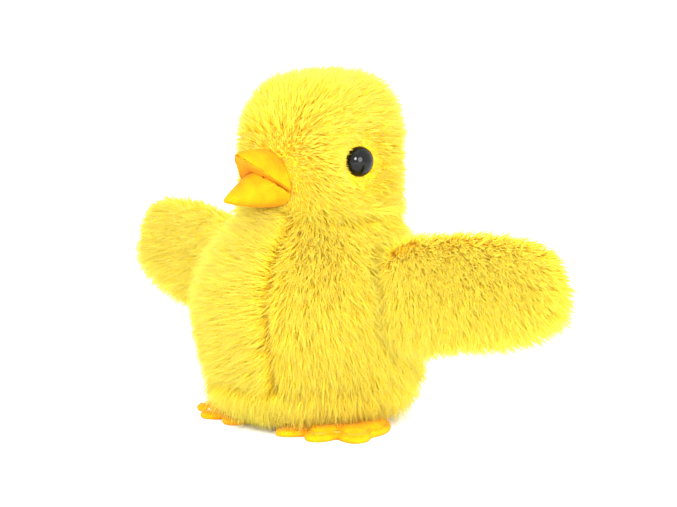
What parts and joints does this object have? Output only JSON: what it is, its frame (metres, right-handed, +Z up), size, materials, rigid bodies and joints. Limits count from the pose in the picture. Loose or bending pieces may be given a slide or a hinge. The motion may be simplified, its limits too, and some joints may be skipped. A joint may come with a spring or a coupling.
{
  "type": "wind-up hopping chick",
  "caption": "Plush wind-up chick with spread wings, open felt beak and felt feet on legs that a spring motor swings to make it hop.",
  "frame": {"origin": "on the surface it stands on, under the middle of its overall width and depth", "axes": "+Z up, -Y the way the chick looks, +X to the chick's own left along the wings"},
  "size_m": [0.199, 0.078, 0.1173],
  "materials": {
    "fur": "long soft pile",
    "wadding": "loose fibre",
    "felt": "matt felt",
    "eye_black": "polished",
    "white_plastic": "moulded satin",
    "amber_plastic": "moulded satin",
    "gear_plastic": "moulded satin",
    "steel": "drawn",
    "spring_steel": "blued",
    "brass": "stamped"
  },
  "bodies": {
    "body": {"body_plush": "fur", "body_stuffing": "wadding", "head_plush": "fur", "head_stuffing": "wadding", "upper_beak": "felt", "lower_beak": "felt", "eye_left": "eye_black", "eye_right": "eye_black", "eye_washer_left": "white_plastic", "eye_washer_right": "white_plastic", "base_disc": "white_plastic", "hem_ring": "white_plastic", "case_left": "white_plastic", "case_right": "white_plastic", "case_screw_1": "steel", "case_screw_2": "steel", "case_screw_3": "steel", "case_screw_4": "steel", "pivot_pin_left": "steel", "pivot_pin_right": "steel", "shaft_sleeve": "white_plastic", "mainspring": "spring_steel"},
    "great_wheel": {"great_wheel": "brass", "click_spring": "spring_steel"},
    "winder": {"winding_arbor": "steel", "arbor_collar": "steel", "winding_knob": "amber_plastic", "ratchet_wheel": "steel"},
    "second_wheel": {"second_wheel": "gear_plastic", "second_axle": "steel"},
    "crank": {"crank_axle": "steel", "crank_pinion": "gear_plastic", "crank_disc_left": "white_plastic", "crank_disc_right": "white_plastic"},
    "legs": {"leg_left": "amber_plastic", "leg_right": "amber_plastic", "felt_sole_left": "felt", "felt_sole_right": "felt", "felt_upper_left": "felt", "felt_upper_right": "felt"},
    "wing_left": {"wing_plush_left": "fur", "wing_stuffing_left": "wadding"},
    "wing_right": {"wing_plush_right": "fur", "wing_stuffing_right": "wadding"}
  },
  "joints": [
    {"name": "kick", "type": "hinge", "parent": "body", "child": "crank", "pos_m": [0, -0.00595, 0.02251], "axis": [-1, 0, 0], "range_deg": [0, 169]},
    {"name": "second_turn", "type": "hinge", "parent": "body", "child": "second_wheel", "pos_m": [0, 0.00224, 0.02825], "axis": [-1, 0, 0], "range_deg": [-56.4, 0]},
    {"name": "great_turn", "type": "hinge", "parent": "body", "child": "great_wheel", "pos_m": [0, 0.01133, 0.023], "axis": [-1, 0, 0], "range_deg": [0, 17.7]},
    {"name": "hop_swing", "type": "hinge", "parent": "body", "child": "legs", "pos_m": [0, 0.01333, 0.0142], "axis": [1, 0, 0], "range_deg": [0, 11]},
    {"name": "wind", "type": "hinge", "parent": "great_wheel", "child": "winder", "pos_m": [0, 0.01133, 0.023], "axis": [1, 0, 0], "range_deg": [0, 1440], "deforming": ["click_spring"]},
    {"name": "wing_left_fold", "type": "hinge", "parent": "body", "child": "wing_left", "pos_m": [0.0488, 0.00427, 0.047], "axis": [0, 0, -1], "range_deg": [-20, 45], "stiffness_Nm_per_rad": 0.006},
    {"name": "wing_right_fold", "type": "hinge", "parent": "body", "child": "wing_right", "pos_m": [-0.0488, 0.00427, 0.047], "axis": [0, 0, 1], "range_deg": [-20, 45], "stiffness_Nm_per_rad": 0.006}
  ],
  "couplings": [
    {"joint": "second_turn", "follows": "kick", "ratio": -0.33333},
    {"joint": "great_turn", "follows": "kick", "ratio": 0.10417},
    {"joint": "hop_swing", "follows": "kick", "ratio": 0.064646}
  ]
}
